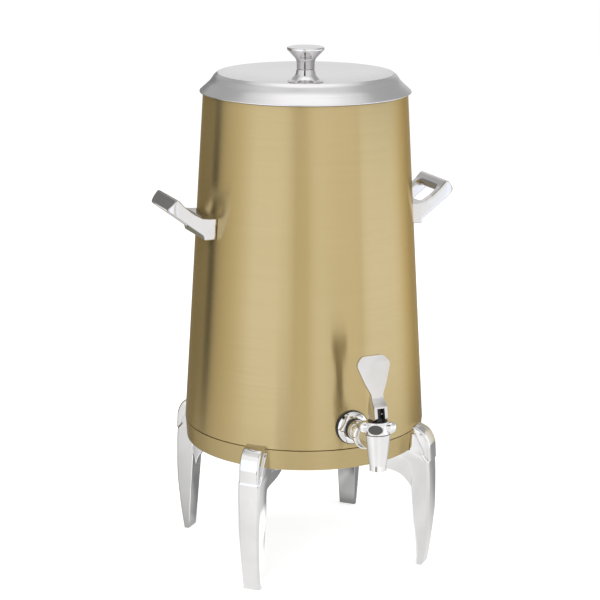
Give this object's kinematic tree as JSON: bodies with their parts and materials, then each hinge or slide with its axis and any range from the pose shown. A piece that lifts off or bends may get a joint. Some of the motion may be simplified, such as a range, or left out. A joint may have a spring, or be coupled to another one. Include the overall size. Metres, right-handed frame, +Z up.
{
  "type": "coffee urn",
  "caption": "Tapered insulated drink urn on cast legs, with side grips, a lift-off lid and a spring-closed lever tap.",
  "frame": {"origin": "on the drum's axis at table level", "axes": "+Z up; -Y to the front, where the tap points; +X to the right grip seen from behind the tap"},
  "size_m": [0.337, 0.3467, 0.5719],
  "materials": {
    "gold": "satin",
    "chrome": "polished",
    "lid_steel": "satin",
    "steel": "satin",
    "plastic": "satin",
    "badge": "satin",
    "rubber": "matte",
    "silicone": "satin",
    "wrap": "matte"
  },
  "bodies": {
    "urn": {"outer_shell": "gold", "neck_collar": "plastic", "inner_liner": "steel", "liner_base": "steel", "insulation": "wrap", "base_band": "gold", "bottom_plate": "steel", "leg_front_left": "chrome", "leg_front_right": "chrome", "leg_back_left": "chrome", "leg_back_right": "chrome", "cap_front_left": "chrome", "cap_front_right": "chrome", "cap_back_left": "chrome", "cap_back_right": "chrome", "leg_screws": "steel", "leg_nuts": "steel", "handle_left": "chrome", "handle_right": "chrome", "handle_plates": "steel", "handle_screws": "steel", "tap_gasket": "rubber", "tap_shank": "chrome", "shank_ring": "rubber", "liner_spud": "steel", "liner_washer": "rubber", "jam_nut": "steel", "coupling_nut": "chrome", "tap_seal": "rubber", "tap_body": "chrome", "wing_nut": "chrome", "badge": "badge", "stem_guide": "plastic", "stem_seal": "rubber", "stem_spring": "steel"},
    "lid": {"lid_cover": "lid_steel", "lid_pan": "steel", "lid_insulation": "wrap", "lid_seal": "rubber", "knob_foot": "chrome", "knob_head": "chrome", "knob_screw": "steel"},
    "stem": {"valve_stem": "plastic", "seat_cup": "silicone"},
    "lever": {"lever": "chrome", "lever_pin": "steel"}
  },
  "joints": [
    {"name": "lid_lift", "type": "slide", "parent": "urn", "child": "lid", "axis": [0, 0, 1], "range_m": [0, 0.12]},
    {"name": "stem_lift", "type": "slide", "parent": "urn", "child": "stem", "axis": [0, 0.0613, 0.9981], "range_m": [0, 0.0037], "deforming": ["stem_spring"]},
    {"name": "lever_pull", "type": "hinge", "parent": "stem", "child": "lever", "pos_m": [0, -0.1965, 0.2142], "axis": [1, 0, 0], "range_deg": [0, 60], "stiffness_Nm_per_rad": 0.15, "springref_deg": -20.05}
  ],
  "couplings": [
    {"joint": "stem_lift", "follows": "lever_pull", "m_per_rad": 0.0035}
  ]
}
